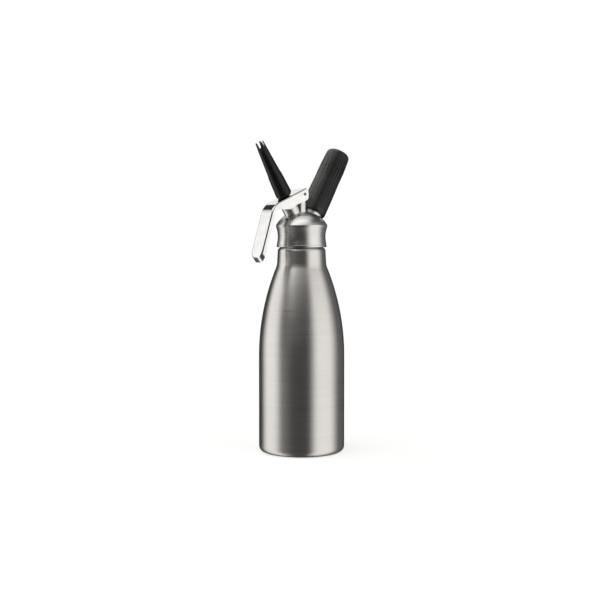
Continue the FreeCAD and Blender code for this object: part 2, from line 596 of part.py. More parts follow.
# Gaps between the prongs, cut from the axis outwards on one side.
sk = new_sketch(b, "YZ_Plane")
sk.AttachmentOffset = Placement(Vector(0, 0, 0), Rotation(Vector(0, 1, 0), d.gap_turn.v))
sk.setExpression(".AttachmentOffset.Rotation.Angle", d.gap_turn.e)
outline(sk, [
    (-d.gap_low_half, d.prong_s + d.gap_low_half), ("arc", d.gap_low_half * 1.01, 1),
    (d.gap_low_half, d.prong_s + d.gap_low_half), (d.gap_top_half, d.tip_end_s + 1),
    (-d.gap_top_half, d.tip_end_s + 1),
])
cutter = extrude(b, sk, Q.of(8.0), cut=True, flip=True)
pattern(b, [cutter], 5, True)

# --------------------------------------------------------------------- lever
# Pressed channel: outer form, rounded end in plan, folded edges, then shelled.
lever = new_body("lever")
sk = new_sketch(lever, "XZ_Plane")
outline(sk, [
    (d.lv_nose_x, d.lv_nose_z), (d.lv_bend_top_x, d.lv_bend_top_z), ("arc", d.lv_bend_arc, 1),
    (d.lv_bend_low_x, d.lv_bend_low_z), (d.lv_tip_out_x, d.lv_tip_out_z), (d.lv_tip_in_x, d.lv_tip_in_z),
    (d.lv_low5_x, d.lv_low5_z), ("arc", d.lv_inner_arc, -1), (d.lv_low4_x, d.lv_low4_z),
    (d.lv_low3_x, d.lv_low3_z), ("arc", d.lv_low_arc, 1), (d.lv_low2_x, d.lv_low2_z),
    (d.lv_low1_x, d.lv_low1_z), (d.lv_heel_x, d.lv_heel_z), ("arc", d.lv_end_arc, 1),
    (d.lv_end_x, d.lv_end_low), (d.lv_end_x, d.lv_end_high), ("arc", d.lv_nose_arc, 1),
])
extrude(lever, sk, d.lever_half * 2, both=True)


def straight(e):
    return e.Curve.TypeId == "Part::GeomLine"


def at(p, x, z, tol=0.05):
    return abs(p.x - x.v) < tol and abs(p.z - z.v) < tol


# End corners in plan: the two edges across the end flange.
round_edges(lever, d.lever_plan, lambda e: len(e.Vertexes) == 2 and straight(e)
            and (at(e.Vertexes[0].Point, d.lv_tip_out_x, d.lv_tip_out_z) and at(e.Vertexes[1].Point, d.lv_tip_in_x, d.lv_tip_in_z)
                 or at(e.Vertexes[1].Point, d.lv_tip_out_x, d.lv_tip_out_z) and at(e.Vertexes[0].Point, d.lv_tip_in_x, d.lv_tip_in_z)))

web_dir = Vector(d.lv_nose_x.v - d.lv_bend_top_x.v, 0, d.lv_nose_z.v - d.lv_bend_top_z.v).normalize()
hand_dir = Vector(d.lv_bend_low_x.v - d.lv_tip_out_x.v, 0, d.lv_bend_low_z.v - d.lv_tip_out_z.v).normalize()


def on_outer_face(p):
    """True on the web's outer surface: top plane, bend or handle plane."""
    top = Vector(p.x - d.lv_nose_x.v, 0, p.z - d.lv_nose_z.v)
    low = Vector(p.x - d.lv_tip_out_x.v, 0, p.z - d.lv_tip_out_z.v)
    off_top = abs(top.x * web_dir.z - top.z * web_dir.x)
    off_low = abs(low.x * hand_dir.z - low.z * hand_dir.x)
    bend_c = Vector(d.lv_bend_top_x.v, 0, d.lv_bend_top_z.v) + Vector(web_dir.z, 0, -web_dir.x) * d.lv_bend_arc.v
    off_bend = abs(math.hypot(p.x - bend_c.x, p.z - bend_c.z) - d.lv_bend_arc.v)
    if p.z > d.lv_bend_top_z.v:
        return off_top < 0.03
    if p.z < d.lv_bend_low_z.v:
        return off_low < 0.03
    return off_bend < 0.06


def fold_edge(e):
    a, z = e.ParameterRange
    pts = [e.valueAt(a + (z - a) * k / 4.0) for k in range(5)]
    if not all(on_outer_face(p) for p in pts):
        return False
    # leave the web's end edge at the nose sharp, and the two joints across the web
    mid = pts[2]
    if abs(mid.y) < 1.0 and mid.z > d.lv_bend_low_z.v - 1:
        return False
    return True


round_edges(lever, d.lever_fold, fold_edge)

# Inside of the channel, one sheet thickness in from web, bend, handle and end flange.
t = d.lever_sheet
in_low_x, in_low_z = d.lv_tip_out_x + t * 1.0939, d.lv_tip_out_z + t * 0.1668
channel = doc.addObject("PartDesign::Body", "channel_form")
channel.Label = "channel_form"
PIECES.append(channel)
sk = new_sketch(channel, "XZ_Plane")
outline(sk, [
    (d.lv_bend_top_x + t * 0.4049, d.lv_bend_top_z - t * 0.9143), ("arc", d.lv_bend_arc - t, 1),
    (d.lv_bend_low_x + t * 0.9579, d.lv_bend_low_z - t * 0.2871), (in_low_x, in_low_z),
    (in_low_x + 7.83, in_low_z - 11.6), (Q.of(20.0), in_low_z - 11.6),
    (Q.of(20.0), d.lv_bend_top_z - t * 0.9143 + (Q.of(20.0) - d.lv_bend_top_x - t * 0.4049) * 0.44286),
])
extrude(channel, sk, d.lever_half * 2 - t * 2, both=True)


def end_edge(e):
    """The two edges of the form along the end flange."""
    if len(e.Vertexes) != 2 or not straight(e):
        return False
    p0, p1 = e.Vertexes[0].Point, e.Vertexes[1].Point
    run = Vector(p1.x - p0.x, 0, p1.z - p0.z)
    if run.Length < 1.0 or abs(p0.y - p1.y) > 0.02:
        return False
    run.normalize()
    return abs(abs(run.x * 0.5595 - run.z * 0.8288) - 1.0) < 0.01


round_edges(channel, d.lever_plan - t, end_edge)
PIECES.remove(channel)
cut = feature(lever, "Boolean")
cut.setObjects([channel])
cut.Type = "Cut"
lever.Tip = cut
checked(cut, True)
# Bores for the pivot pin.
sk = new_sketch(lever, "XZ_Plane")
ring_hole(sk, d.pivot_x, d.pivot_z, d.lever_bore_r)
extrude(lever, sk, d.lever_half * 2 + 4, cut=True, both=True)
# Slot in the web for the adaptor's hub, square to the valve axis.
sk = lever.newObject("Sketcher::SketchObject", "slot_sketch")
sk.AttachmentSupport = (origin_plane(lever, "XY_Plane"), [""])
sk.MapMode = "FlatFace"
sk.AttachmentOffset = Placement(
    Vector(-40.0 * math.sin(math.radians(d.valve_tilt.v)), 0, d.valve_z.v + 40.0 * math.cos(math.radians(d.valve_tilt.v))),
    Rotation(Vector(0, -1, 0), d.valve_tilt.v))
sk.setExpression(".AttachmentOffset.Base.x", "0 - 40 * sin(dims.valve_tilt * 1deg)")
sk.setExpression(".AttachmentOffset.Base.z", "dims.valve_z + 40 * cos(dims.valve_tilt * 1deg)")
sk.setExpression(".AttachmentOffset.Rotation.Angle", d.valve_tilt.e)
outline(sk, [
    (d.lv_slot_shift - d.lv_slot_len, -d.lv_slot_half), (d.lv_slot_shift + d.lv_slot_len, -d.lv_slot_half),
    ("arc", d.lv_slot_half * 1.01, 1), (d.lv_slot_shift + d.lv_slot_len, d.lv_slot_half),
    (d.lv_slot_shift - d.lv_slot_len, d.lv_slot_half), ("arc", d.lv_slot_half * 1.01, 1),
])
extrude(lever, sk, Q.of(9.0), cut=True, flip=True)

# ------------------------------------------------------------- charger port
b = new_body("charger_port_nipple", "gas")
turn(b, [
    (d.gas_bore_r, d.nipple_low), (d.nipple_shank_r, d.nipple_low), (d.nipple_shank_r, d.port_boss_top),
    (d.nipple_r - 0.4, d.port_boss_top), (d.nipple_r, d.port_boss_top + 0.4),
    (d.nipple_r, d.nipple_collar_top - 0.3), (d.nipple_r - 0.3, d.nipple_collar_top),
    (d.nipple_core_r, d.nipple_collar_top), (d.nipple_core_r, d.nipple_top - 0.5), (d.nipple_core_r - 0.5, d.nipple_top),
    (d.needle_bore_r + 0.4, d.nipple_top), (d.needle_bore_r, d.nipple_top - 0.4), (d.needle_bore_r, d.needle_bore_low),
    (d.gas_bore_r, d.needle_bore_low),
])
ridge(b, d.nipple_core_r, d.nipple_crest_r, Q.of(-0.3), d.nipple_ridge_t, d.gas_ridge_root, d.gas_ridge_crest,
      d.gas_pitch, d.nipple_ridge_rise)

# Plug that carries the needle, with three gas bores.
b = new_body("piercing_pin_holder", "gas")
turn(b, [
    (d.needle_r, d.needle_bore_low), (d.needle_bore_r, d.needle_bore_low), (d.needle_bore_r, d.needle_seat_top),
    (d.needle_r, d.needle_seat_top),
])
sk = new_sketch(b, "XY_Plane", lift=d.needle_bore_low)
ring_hole(sk, d.vent_pcd, ZERO, d.vent_r)
cutter = extrude(b, sk, d.needle_seat_top - d.needle_bore_low, cut=True, flip=True)
pattern(b, [cutter], 3, True)

b = new_body("piercing_pin", "gas")
turn(b, [
    (ZERO, d.needle_low), (d.needle_r, d.needle_low), (d.needle_r, d.needle_top - 1.8), (Q.of(0.12), d.needle_top),
    (ZERO, d.needle_top),
])

b = new_body("charger_seal", "gas")
turn(b, [
    (d.gas_seal_in_r, d.needle_seat_top), (d.needle_bore_r, d.needle_seat_top), (d.needle_bore_r, d.gas_seal_top),
    (d.gas_seal_in_r, d.gas_seal_top),
])

# Standard gas charger: neck, shoulder, body and round end, one wall thickness.
b = new_body("gas_charger", "gas")
turn(b, [
    (d.charger_bore_r, d.charger_low), (d.charger_neck_r - 0.3, d.charger_low), (d.charger_neck_r, d.charger_low + 0.3),
    (d.charger_neck_r, d.charger_neck_top), ("arc", Q.of(9.0), -1), (Q.of(6.9), Q.of(56.6)), ("arc", Q.of(9.0), 1),
    (d.charger_r, d.charger_shoulder), (d.charger_r, d.charger_round), ("arc", d.charger_r, 1),
    (ZERO, d.charger_round + d.charger_r), (ZERO, d.charger_round + d.charger_r - d.charger_wall),
    ("arc", d.charger_r - d.charger_wall, -1), (d.charger_r - d.charger_wall, d.charger_round),
    (d.charger_r - d.charger_wall, d.charger_inner_side), (Q.of(5.4), Q.of(57.6)), (d.charger_bore_r, d.charger_inner_low),
])

# Its cap, pierced.
b = new_body("charger_cap_foil", "gas")
turn(b, [
    (d.foil_hole_r, d.foil_low), (d.charger_bore_r, d.foil_low), (d.charger_bore_r, d.foil_low + d.foil_thick),
    (d.foil_hole_r, d.foil_low + d.foil_thick),
])

# -------------------------------------------------------------------- holder
b = new_body("charger_holder_shell", "gas")
turn(b, [
    (d.sleeve_r, d.holder_low), (d.holder_low_r, d.holder_low), ("arc", Q.of(2.2), 1), (d.holder_band_r, d.holder_band_t),
    ("arc", Q.of(900.0), 1), (d.holder_mid_r, d.holder_mid_t), ("arc", Q.of(300.0), 1),
    (d.holder_high_r, d.holder_high_t), ("arc", d.holder_round, 1),
    (d.holder_cap_r, d.holder_cap_t), ("arc", d.holder_cap_arc, 1), (ZERO, d.holder_top_t),
    (ZERO, d.holder_dome_t + d.holder_bore_r), ("arc", d.holder_bore_r, -1), (d.holder_bore_r, d.holder_dome_t),
    (d.holder_bore_r, d.holder_step), (d.sleeve_r, d.holder_step),
])
# Flutes: a round cutter that follows the shell's taper, repeated round the axis.
s0 = new_sketch(b, "XY_Plane", lift=d.flute_low)
ring_hole(s0, d.flute_low_r, ZERO, d.flute_r)
s1 = new_sketch(b, "XY_Plane", lift=d.flute_high)
ring_hole(s1, d.flute_high_r, ZERO, d.flute_r)
f = feature(b, "SubtractiveLoft")
f.Profile = s0
f.Sections = [s1]
f.Ruled = True
checked(f, True)
pattern(b, [f], d.flute_count, True)

# Metal thread sleeve in its mouth.
b = new_body("holder_thread_sleeve", "gas")
turn(b, [
    (d.sleeve_bore_r + 0.4, d.sleeve_low), (d.sleeve_r, d.sleeve_low), (d.sleeve_r, d.sleeve_top),
    (d.sleeve_bore_r, d.sleeve_top), (d.sleeve_bore_r, d.sleeve_low + 0.4),
])
ridge(b, d.sleeve_bore_r, d.sleeve_crest_r, Q.of(0.3), d.sleeve_ridge_t, d.gas_ridge_root, d.gas_ridge_crest,
      d.gas_pitch, d.sleeve_ridge_rise)

# ------------------------------------------------------------ check and save
doc.recompute()
faults = []
for obj in doc.Objects:
    if "Invalid" in obj.State or "Error" in obj.State:
        faults.append("%s: %s" % (obj.Label, obj.State))
for piece in PIECES:
    shape = piece.Shape
    if shape.isNull() or not shape.isValid():
        faults.append(piece.Label + ": null or not valid")
    elif len(shape.Solids) != 1:
        faults.append("%s: %d solids" % (piece.Label, len(shape.Solids)))
if faults:
    print("\n".join(faults))
    sys.exit(1)
for piece in PIECES:
    shape = piece.Shape
    box = shape.BoundBox
    print("%-24s %9.1f mm3  x %.1f..%.1f  y %.1f..%.1f  z %.1f..%.1f" % (
        piece.Label, shape.Volume, box.XMin, box.XMax, box.YMin, box.YMax, box.ZMin, box.ZMax))
    shape.exportStep("parts/%s.step" % piece.Label)
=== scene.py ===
import math

import bmesh
import bpy
from mathutils import Matrix, Vector

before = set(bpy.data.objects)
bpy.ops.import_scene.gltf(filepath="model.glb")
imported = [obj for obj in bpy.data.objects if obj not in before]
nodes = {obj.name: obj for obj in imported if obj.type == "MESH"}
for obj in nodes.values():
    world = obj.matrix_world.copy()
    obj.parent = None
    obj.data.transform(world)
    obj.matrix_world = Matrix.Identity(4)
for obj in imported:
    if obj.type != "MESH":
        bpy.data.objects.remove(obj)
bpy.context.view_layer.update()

# Looks of the whipped cream dispenser. Everything is in metres, in the frame of
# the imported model: Z up, z = 0 the floor, lever and nozzle towards -X.

scene = bpy.context.scene

VALVE_O = Vector((0.0, 0.0, 0.24635))
VALVE_N = Vector((-0.5, 0.0, math.sqrt(0.75)))
GAS_O = Vector((0.0, 0.0, 0.24167))
GAS_N = Vector((math.sin(math.radians(28.9)), 0.0, math.cos(math.radians(28.9))))

VIEW_AZ = math.radians(-35.0)
BACK = Vector((math.sin(VIEW_AZ), -math.cos(VIEW_AZ), 0.0))
RIGHT = Vector((math.cos(VIEW_AZ), math.sin(VIEW_AZ), 0.0))
# the side of the holder, square to its axis, that carries a painted pale reflection of the left softbox
SHEEN_SIDE = -(RIGHT - GAS_N * RIGHT.dot(GAS_N)).normalized()


# ------------------------------------------------------------------ node helpers
class Tree:
    """A node tree with short calls for the nodes used here."""

    def __init__(self, tree):
        self.t = tree
        self.t.nodes.clear()

    def new(self, kind, **props):
        n = self.t.nodes.new(kind)
        for k, v in props.items():
            setattr(n, k, v)
        return n

    def put(self, socket, value):
        if hasattr(value, "links"):
            self.t.links.new(value, socket)
        elif isinstance(value, (tuple, list, Vector)) and len(value) == 3 and len(socket.default_value) == 4:
            socket.default_value = (*value, 1.0)
        else:
            socket.default_value = value

    def math(self, op, a, b=None, c=None, clamp=False):
        n = self.new("ShaderNodeMath", operation=op, use_clamp=clamp)
        for i, v in enumerate((a, b, c)):
            if v is not None:
                self.put(n.inputs[i], v)
        return n.outputs[0]

    def vmath(self, op, a, b=None, out=0, scale=None):
        n = self.new("ShaderNodeVectorMath", operation=op)
        self.put(n.inputs[0], a)
        if b is not None:
            self.put(n.inputs[1], b)
        if scale is not None:
            self.put(n.inputs["Scale"], scale)
        return n.outputs["Value"] if op in ("DOT_PRODUCT", "LENGTH", "DISTANCE") else n.outputs[out]

    def step(self, x, lo, hi, a=0.0, b=1.0, smooth=True):
        n = self.new("ShaderNodeMapRange", interpolation_type="SMOOTHSTEP" if smooth else "LINEAR", clamp=True)
        self.put(n.inputs["Value"], x)
        for name, v in (("From Min", lo), ("From Max", hi), ("To Min", a), ("To Max", b)):
            self.put(n.inputs[name], v)
        return n.outputs["Result"]

    def noise(self, vector, scale, detail=2.0, rough=0.5, distortion=0.0, out="Fac"):
        n = self.new("ShaderNodeTexNoise", noise_dimensions="3D")
        self.put(n.inputs["Vector"], vector)
        self.put(n.inputs["Scale"], scale)
        self.put(n.inputs["Detail"], detail)
        self.put(n.inputs["Roughness"], rough)
        self.put(n.inputs["Distortion"], distortion)
        return n.outputs[out]

    def voronoi(self, vector, scale, feature="F1", out="Distance", random=1.0):
        n = self.new("ShaderNodeTexVoronoi", feature=feature)
        self.put(n.inputs["Vector"], vector)
        self.put(n.inputs["Scale"], scale)
        self.put(n.inputs["Randomness"], random)
        return n.outputs[out]

    def scaled(self, vector, s):
        n = self.new("ShaderNodeVectorMath", operation="MULTIPLY")
        self.put(n.inputs[0], vector)
        self.put(n.inputs[1], s)
        return n.outputs[0]

    def mix(self, fac, a, b):
        n = self.new("ShaderNodeMix", data_type="RGBA", blend_type="MIX")
        self.put(n.inputs[0], fac)
        self.put(n.inputs[6], a)
        self.put(n.inputs[7], b)
        return n.outputs[2]

    def bump(self, height, strength, distance, normal=None):
        n = self.new("ShaderNodeBump")
        self.put(n.inputs["Strength"], strength)
        self.put(n.inputs["Distance"], distance)
        self.put(n.inputs["Height"], height)
        if normal is not None:
            self.put(n.inputs["Normal"], normal)
        return n.outputs["Normal"]

    def at(self, origin=None, axis=None):
        """Object coordinates; with origin and axis, in a frame whose Z is that axis."""
        c = self.new("ShaderNodeTexCoord").outputs["Object"]
        if origin is None:
            return c
        side = Vector((0.0, 1.0, 0.0))
        front = side.cross(axis).normalized()
        rel = self.vmath("SUBTRACT", c, tuple(origin))
        comb = self.new("ShaderNodeCombineXYZ")
        for i, v in enumerate((front, side, axis)):
            self.put(comb.inputs[i], self.vmath("DOT_PRODUCT", rel, tuple(v)))
        return comb.outputs[0]

    def xyz(self, vector):
        n = self.new("ShaderNodeSeparateXYZ")
        self.put(n.inputs[0], vector)
        return n.outputs


def material(name):
    m = bpy.data.materials.new(name)
    m.use_nodes = True
    t = Tree(m.node_tree)
    out = t.new("ShaderNodeOutputMaterial")
    bsdf = t.new("ShaderNodeBsdfPrincipled")
    t.t.links.new(bsdf.outputs[0], out.inputs["Surface"])
    return m, t, bsdf


# ------------------------------------------------------------------ materials
def brushed_steel(name, low, high, rough=(0.26, 0.36), aniso=0.72):
    """Stainless steel brushed round the Z axis."""
    m, t, b = material(name)
    p = t.at()
    fine = t.noise(t.scaled(p, (22.0, 22.0, 3200.0)), 1.0, 3.0, 0.62)
    coarse = t.noise(t.scaled(p, (9.0, 9.0, 620.0)), 1.0, 3.0, 0.6)
    broad = t.noise(t.scaled(p, (16.0, 16.0, 16.0)), 1.0, 2.0, 0.5)
    smudge = t.noise(t.scaled(p, (38.0, 38.0, 70.0)), 1.0, 4.0, 0.6, 0.6)
    grain = t.math("ADD", t.math("MULTIPLY", fine, 0.72), t.math("MULTIPLY", coarse, 0.28))
    tone = t.math("ADD", t.math("MULTIPLY", grain, 0.75), t.math("MULTIPLY", broad, 0.25))
    t.put(b.inputs["Base Color"], t.mix(t.step(tone, 0.3, 0.72), low, high))
    b.inputs["Metallic"].default_value = 1.0
    r = t.math("ADD", t.step(grain, 0.25, 0.75, rough[0], rough[1], smooth=False), t.step(smudge, 0.5, 0.8, 0.0, 0.035))
    t.put(b.inputs["Roughness"], r)
    b.inputs["Anisotropic"].default_value = aniso
    b.inputs["Anisotropic Rotation"].default_value = 0.25
    tan = t.new("ShaderNodeTangent", direction_type="RADIAL", axis="Z")
    t.put(b.inputs["Tangent"], tan.outputs[0])
    t.put(b.inputs["Normal"], t.bump(grain, 0.16, 0.00012))
    return m


def satin_metal(name, low, high, rough=(0.24, 0.3), origin=None, axis=None, grain_size=5200.0):
    """Cast and bead blasted metal with a trace of the lathe."""
    m, t, b = material(name)
    p = t.at(origin, axis)
    beads = t.noise(p, grain_size, 2.0, 0.6)
    lathe = t.noise(t.scaled(p, (14.0, 14.0, 2400.0)), 1.0, 2.0, 0.5)
    broad = t.noise(p, 55.0, 3.0, 0.55)
    tone = t.math("ADD", t.math("MULTIPLY", beads, 0.4), t.math("MULTIPLY", broad, 0.6))
    t.put(b.inputs["Base Color"], t.mix(t.step(tone, 0.3, 0.7), low, high))
    b.inputs["Metallic"].default_value = 1.0
    mixed = t.math("ADD", t.math("MULTIPLY", beads, 0.6), t.math("MULTIPLY", lathe, 0.4))
    t.put(b.inputs["Roughness"], t.math("ADD", t.step(mixed, 0.25, 0.75, rough[0], rough[1], smooth=False),
                                        t.step(broad, 0.45, 0.75, 0.0, 0.03)))
    t.put(b.inputs["Normal"], t.bump(mixed, 0.14, 0.0001))
    return m


def polished_metal(name, low, high, rough=(0.045, 0.09), scratch_dir=(300.0, 900.0, 60.0), wave=0.06):
    """Pressed sheet, mirror polished, with fine hairlines and a slight waviness."""
    m, t, b = material(name)
    p = t.at()
    hair = t.noise(t.scaled(p, scratch_dir), 6.0, 3.0, 0.65)
    lines = t.step(hair, 0.6, 0.78)
    haze = t.noise(p, 120.0, 4.0, 0.6, 0.4)
    # painted dark reflection along the pressed fold beside the upward faces, picked out by the surface's facing
    way = t.xyz(t.new("ShaderNodeNewGeometry").outputs["Normal"])
    tilt = t.math("ABSOLUTE", way["Y"])
    fold_dark_reflection = t.math("MULTIPLY", t.step(tilt, 0.06, 0.16), t.step(tilt, 0.62, 0.8, 1.0, 0.0))
    level = t.math("SQRT", t.math("MAXIMUM", t.math("SUBTRACT", 1.0, t.math("MULTIPLY", tilt, tilt)), 0.01))
    fold_dark_reflection = t.math("MULTIPLY", fold_dark_reflection, t.step(t.math("DIVIDE", way["Z"], level), 0.62, 0.8))
    fold_dark_reflection = t.math("MULTIPLY", fold_dark_reflection, t.step(haze, 0.2, 0.5, 0.8, 0.96))
    # the fold's painted dark reflection darkens the base colour to near black
    t.put(b.inputs["Base Color"], t.mix(fold_dark_reflection, t.mix(t.step(haze, 0.35, 0.7), low, high), (0.03, 0.03, 0.03)))
    b.inputs["Metallic"].default_value = 1.0
    t.put(b.inputs["Roughness"], t.math("ADD", t.step(haze, 0.3, 0.75, rough[0], rough[1]),
                                        t.math("MULTIPLY", lines, 0.05)))
    swell = t.noise(p, 42.0, 1.0, 0.4)
    n1 = t.bump(swell, wave, 0.002)
    t.put(b.inputs["Normal"], t.bump(hair, 0.05, 0.00006, n1))
    return m


def moulded_black(name, low, high, rough=(0.34, 0.44), origin=None, axis=None, spec=0.5, worn=None, painted_sheen=None):
    """Black moulded plastic: fine spark-eroded grain, flow streaks along the axis and dull handling marks."""
    m, t, b = material(name)
    p = t.at(origin, axis)
    grain = t.noise(p, 3600.0, 2.0, 0.55)
    flow = t.noise(t.scaled(p, (420.0, 420.0, 26.0)), 1.0, 3.0, 0.6)
    marks = t.noise(t.scaled(p, (70.0, 70.0, 34.0)), 1.0, 4.0, 0.62, 0.5)
    tone = t.math("ADD", t.math("MULTIPLY", flow, 0.5), t.math("MULTIPLY", marks, 0.5))
    col = t.mix(t.step(tone, 0.34, 0.68), low, high)
    if worn is not None:
        # paler, rubbed band between two heights along the axis
        z = t.xyz(p)["Z"]
        lo, hi, tint = worn
        band = t.math("MULTIPLY", t.step(z, lo, hi), t.step(marks, 0.42, 0.62))
        col = t.mix(t.math("MULTIPLY", band, 0.6), col, tint)
    if painted_sheen is not None:
        # painted pale reflection of the left softbox on one side of the grip, in streaks along the axis, only on the
        # quarter that faces the viewpoint
        way, lo, hi, tint = painted_sheen
        rel = t.vmath("SUBTRACT", t.at(), tuple(origin))
        side = t.vmath("DOT_PRODUCT", rel, tuple(way))
        front = t.vmath("DOT_PRODUCT", rel, tuple(axis.cross(way)))
        streak = t.noise(t.scaled(p, (520.0, 520.0, 12.0)), 1.0, 2.0, 0.6)
        sheen_mask = t.math("MULTIPLY", t.step(side, lo, hi), t.step(streak, 0.3, 0.62, 0.55, 1.0))
        sheen_mask = t.math("MULTIPLY", sheen_mask, t.step(front, -0.007, -0.0015))
        # the painted reflection lightens the base colour towards a pale grey
        col = t.mix(sheen_mask, col, tint)
    t.put(b.inputs["Base Color"], col)
    b.inputs["Specular IOR Level"].default_value = spec
    t.put(b.inputs["Roughness"], t.math("ADD", t.step(grain, 0.25, 0.75, rough[0], rough[1], smooth=False),
                                        t.step(marks, 0.5, 0.75, 0.0, 0.07)))
    t.put(b.inputs["Normal"], t.bump(grain, 0.16, 0.00008, t.bump(flow, 0.05, 0.0002)))
    return m


def plain_metal(name, low, high, rough=(0.2, 0.34), scale=900.0, metal=1.0, origin=None, axis=None, turned=True):
    """Turned small metal parts: fine rings round their axis and a little tarnish."""
    m, t, b = material(name)
    p = t.at(origin, axis)
    rings = t.noise(t.scaled(p, (30.0, 30.0, 4200.0) if turned else (1500.0, 1500.0, 1500.0)), 1.0, 2.0, 0.6)
    tarnish = t.noise(p, scale / 5.0, 4.0, 0.62, 0.3)
    t.put(b.inputs["Base Color"], t.mix(t.step(tarnish, 0.35, 0.7), low, high))
    b.inputs["Metallic"].default_value = metal
    t.put(b.inputs["Roughness"], t.math("ADD", t.step(rings, 0.25, 0.75, rough[0], rough[1], smooth=False),
                                        t.step(tarnish, 0.5, 0.75, 0.0, 0.06)))
    t.put(b.inputs["Normal"], t.bump(rings, 0.12, 0.0001))
    return m


def rubber(name, low, high):
    """Moulded silicone: matt, with a faint bloom."""
    m, t, b = material(name)
    p = t.at()
    bloom = t.noise(p, 260.0, 4.0, 0.62)
    grain = t.noise(p, 4200.0, 2.0, 0.5)
    t.put(b.inputs["Base Color"], t.mix(t.step(bloom, 0.38, 0.68), low, high))
    t.put(b.inputs["Roughness"], t.step(grain, 0.25, 0.75, 0.5, 0.66, smooth=False))
    t.put(b.inputs["Normal"], t.bump(grain, 0.2, 0.00008))
    b.inputs["Specular IOR Level"].default_value = 0.35
    return m


MAT = {
    "bottle": brushed_steel("bottle_brushed_steel", (0.56, 0.542, 0.52), (0.69, 0.672, 0.65)),
    "head": satin_metal("head_satin_metal", (0.6, 0.597, 0.585), (0.71, 0.707, 0.695)),
    "lever": polished_metal("lever_polished_steel", (0.72, 0.72, 0.712), (0.8, 0.8, 0.792)),
    "nozzle": moulded_black("nozzle_black_plastic", (0.006, 0.006, 0.006), (0.012, 0.012, 0.012),
                            (0.19, 0.28), VALVE_O, VALVE_N, spec=0.25, worn=(0.098, 0.112, (0.03, 0.03, 0.03))),
    # the holder gets a painted pale reflection on its left side
    "holder": moulded_black("holder_black_plastic", (0.009, 0.009, 0.0095), (0.015, 0.015, 0.0155),
                            (0.24, 0.34), GAS_O, GAS_N, spec=0.4, painted_sheen=(SHEEN_SIDE, -0.003, 0.011, (0.2, 0.196, 0.188))),
    "adaptor": moulded_black("adaptor_black_plastic", (0.005, 0.005, 0.005), (0.009, 0.009, 0.009),
                             (0.42, 0.52), VALVE_O, VALVE_N, spec=0.16),
    "pin": plain_metal("pin_dark_steel", (0.24, 0.24, 0.235), (0.34, 0.34, 0.335), (0.28, 0.4)),
    "inner": plain_metal("inner_turned_steel", (0.55, 0.55, 0.54), (0.66, 0.66, 0.65)),
    "valve": plain_metal("valve_turned_steel", (0.55, 0.55, 0.54), (0.66, 0.66, 0.65), origin=VALVE_O, axis=VALVE_N),
    "nipple": plain_metal("port_turned_steel", (0.55, 0.55, 0.54), (0.66, 0.66, 0.65), origin=GAS_O, axis=GAS_N),
    "brass": plain_metal("turned_brass", (0.62, 0.44, 0.2), (0.78, 0.6, 0.3), origin=GAS_O, axis=GAS_N),
    "bush": plain_metal("bush_brass", (0.62, 0.44, 0.2), (0.78, 0.6, 0.3), origin=VALVE_O, axis=VALVE_N),
    "rubber": rubber("seal_silicone", (0.035, 0.035, 0.037), (0.06, 0.06, 0.062)),
    "foil": plain_metal("charger_foil", (0.72, 0.66, 0.5), (0.86, 0.8, 0.62), (0.18, 0.3), turned=False),
    "charger": plain_metal("charger_zinc_plate", (0.52, 0.53, 0.54), (0.68, 0.69, 0.7), (0.2, 0.32), origin=GAS_O, axis=GAS_N),
    "sleeve": plain_metal("sleeve_aluminium", (0.66, 0.67, 0.68), (0.8, 0.81, 0.82), (0.25, 0.36), origin=GAS_O, axis=GAS_N),
}

FINISH = {
    "bottle_shell": "bottle", "neck_thread_ring": "inner", "head_gasket": "rubber", "head_body": "head",
    "lever_pivot_pin": "pin", "valve_guide_bush": "bush", "guide_o_ring": "rubber", "valve_stem": "valve",
    "valve_seal": "rubber", "valve_seal_nut": "valve", "valve_spring": "valve", "spring_retainer": "valve",
    "tip_adaptor": "adaptor", "tip_o_ring": "rubber", "decorator_tip": "nozzle", "lever": "lever",
    "charger_port_nipple": "nipple", "piercing_pin_holder": "brass", "piercing_pin": "nipple",
    "charger_seal": "rubber", "gas_charger": "charger", "charger_cap_foil": "foil",
    "charger_holder_shell": "holder", "holder_thread_sleeve": "sleeve",
}
for name, obj in nodes.items():
    obj.data.materials.clear()
    obj.data.materials.append(MAT[FINISH[name]])


# ------------------------------------------------------------------ floor
def disc(name, radius, rings=10, sides=64):
    bm = bmesh.new()
    centre = bm.verts.new((0.0, 0.0, 0.0))
    last = None
    for i in range(1, rings + 1):
        r = radius * (i / rings) ** 1.6
        ring = [bm.verts.new((r * math.cos(2 * math.pi * k / sides), r * math.sin(2 * math.pi * k / sides), 0.0))
                for k in range(sides)]
        for k in range(sides):
            j = (k + 1) % sides
            if last is None:
                bm.faces.new((centre, ring[k], ring[j]))
            else:
                bm.faces.new((last[k], ring[k], ring[j], last[j]))
        last = ring
    me = bpy.data.meshes.new(name)
    bm.to_mesh(me)
    bm.free()
    o = bpy.data.objects.new(name, me)
    scene.collection.objects.link(o)
    return o


